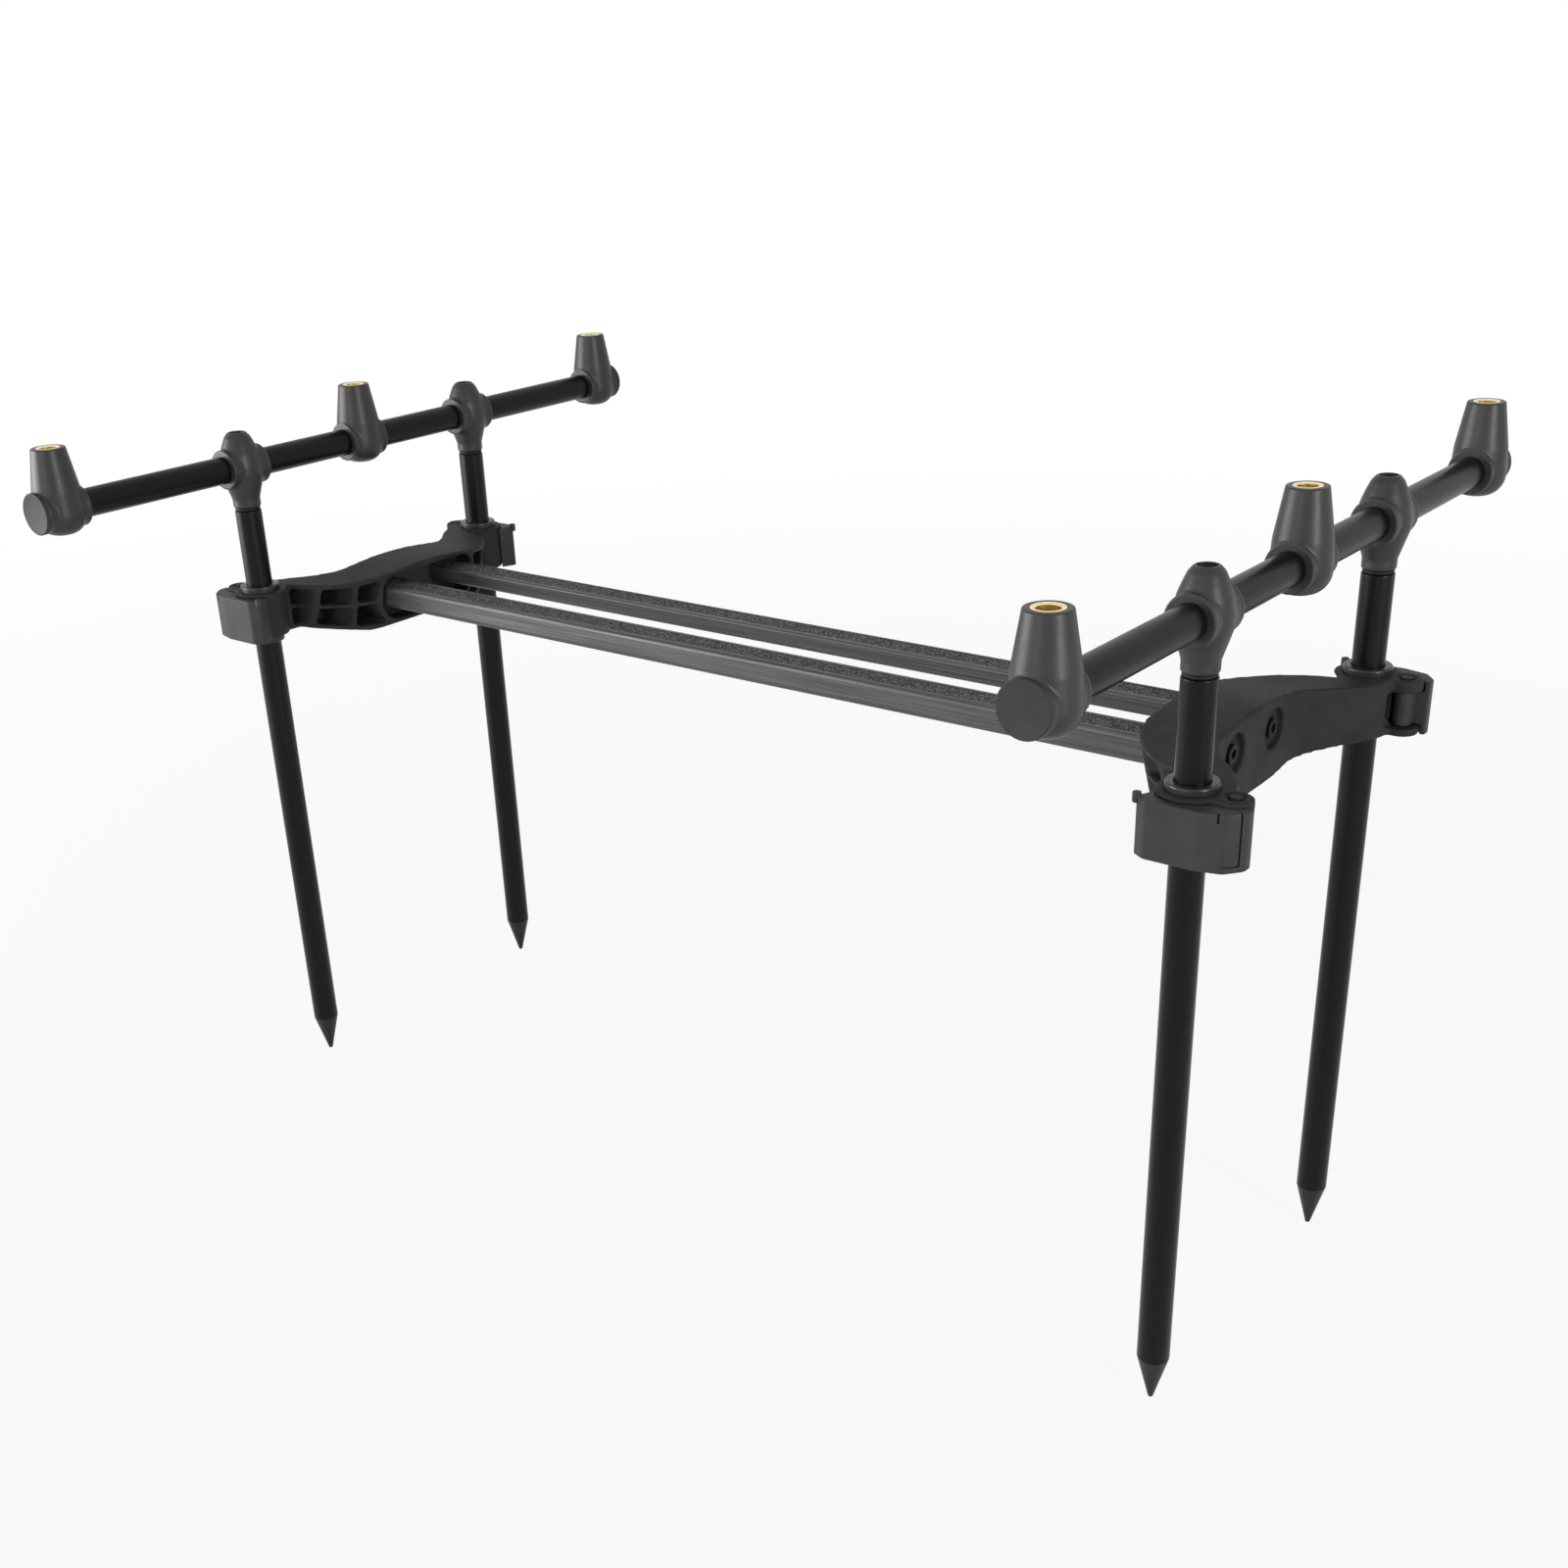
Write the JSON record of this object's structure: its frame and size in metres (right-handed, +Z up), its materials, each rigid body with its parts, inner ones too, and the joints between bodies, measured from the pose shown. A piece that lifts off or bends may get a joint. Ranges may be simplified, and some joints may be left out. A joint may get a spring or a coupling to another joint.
{
  "type": "rod pod",
  "caption": "Free-standing rod pod: bars join end brackets that clamp sliding leg frames with spiked feet and rest bars carrying threaded rod-rest sockets.",
  "frame": {"origin": "on the ground, below the middle of the pod", "axes": "+X along the pod towards its front, +Y across it to its left, +Z up"},
  "size_m": [0.6906, 0.4714, 0.4352],
  "materials": {
    "bracket_plastic": "fine moulded texture",
    "socket_plastic": "satin moulded",
    "lever_plastic": "satin moulded",
    "bush_plastic": "smooth moulded",
    "inner_plastic": "plain moulded",
    "bar_aluminium": "satin gun-metal anodised",
    "strip_rubber": "pebbled",
    "black_tube": "satin black anodised",
    "spike_metal": "black anodised",
    "plain_aluminium": "turned",
    "black_steel": "black oxide",
    "insert_brass": "turned",
    "ring_rubber": "smooth"
  },
  "bodies": {
    "chassis": {"bracket_front": "bracket_plastic", "bracket_rear": "bracket_plastic", "main_bar_left": "bar_aluminium", "main_bar_right": "bar_aluminium", "bar_strip_left": "strip_rubber", "bar_strip_right": "strip_rubber", "bar_plugs_front": "inner_plastic", "bar_plugs_rear": "inner_plastic", "bar_bolts_front": "black_steel", "bar_bolts_rear": "black_steel", "leg_bush_front_left": "bush_plastic", "leg_bush_front_right": "bush_plastic", "leg_bush_rear_left": "bush_plastic", "leg_bush_rear_right": "bush_plastic", "clamp_shoe_front_left": "inner_plastic", "clamp_shoe_front_right": "inner_plastic", "clamp_shoe_rear_left": "inner_plastic", "clamp_shoe_rear_right": "inner_plastic", "lever_pin_front_left": "black_steel", "lever_pin_front_right": "black_steel", "lever_pin_rear_left": "black_steel", "lever_pin_rear_right": "black_steel"},
    "front_frame": {"leg_tube_front_left": "black_tube", "leg_tube_front_right": "black_tube", "spike_front_left": "spike_metal", "spike_front_right": "spike_metal", "tee_socket_front_left": "socket_plastic", "tee_socket_front_right": "socket_plastic", "leg_spigots_front": "plain_aluminium", "leg_rings_front": "ring_rubber", "tee_screws_front": "black_steel", "rest_bar_front": "black_tube", "brass_inserts_front": "insert_brass", "end_caps_front": "socket_plastic", "rod_socket_front_left": "socket_plastic", "rod_socket_front_middle": "socket_plastic", "rod_socket_front_right": "socket_plastic"},
    "rear_frame": {"leg_tube_rear_left": "black_tube", "leg_tube_rear_right": "black_tube", "spike_rear_left": "spike_metal", "spike_rear_right": "spike_metal", "tee_socket_rear_left": "socket_plastic", "tee_socket_rear_right": "socket_plastic", "leg_spigots_rear": "plain_aluminium", "leg_rings_rear": "ring_rubber", "tee_screws_rear": "black_steel", "rest_bar_rear": "black_tube", "brass_inserts_rear": "insert_brass", "end_caps_rear": "socket_plastic", "rod_socket_rear_left": "socket_plastic", "rod_socket_rear_middle": "socket_plastic", "rod_socket_rear_right": "socket_plastic"},
    "lever_front_left": {"cam_lever_front_left": "lever_plastic"},
    "lever_front_right": {"cam_lever_front_right": "lever_plastic"},
    "lever_rear_left": {"cam_lever_rear_left": "lever_plastic"},
    "lever_rear_right": {"cam_lever_rear_right": "lever_plastic"}
  },
  "joints": [
    {"name": "front_height", "type": "slide", "parent": "chassis", "child": "front_frame", "axis": [0, 0, 1], "range_m": [-0.0478, 0.255]},
    {"name": "rear_height", "type": "slide", "parent": "chassis", "child": "rear_frame", "axis": [0, 0, 1], "range_m": [-0.0478, 0.255]},
    {"name": "lever_front_left_swing", "type": "hinge", "parent": "chassis", "child": "lever_front_left", "pos_m": [0.33497, 0.094, 0.311], "axis": [0, 0, -1], "range_deg": [0, 115]},
    {"name": "lever_front_right_swing", "type": "hinge", "parent": "chassis", "child": "lever_front_right", "pos_m": [0.33497, -0.094, 0.311], "axis": [0, 0, 1], "range_deg": [0, 115]},
    {"name": "lever_rear_left_swing", "type": "hinge", "parent": "chassis", "child": "lever_rear_left", "pos_m": [-0.33497, 0.094, 0.311], "axis": [0, 0, 1], "range_deg": [0, 115]},
    {"name": "lever_rear_right_swing", "type": "hinge", "parent": "chassis", "child": "lever_rear_right", "pos_m": [-0.33497, -0.094, 0.311], "axis": [0, 0, -1], "range_deg": [0, 115]}
  ]
}
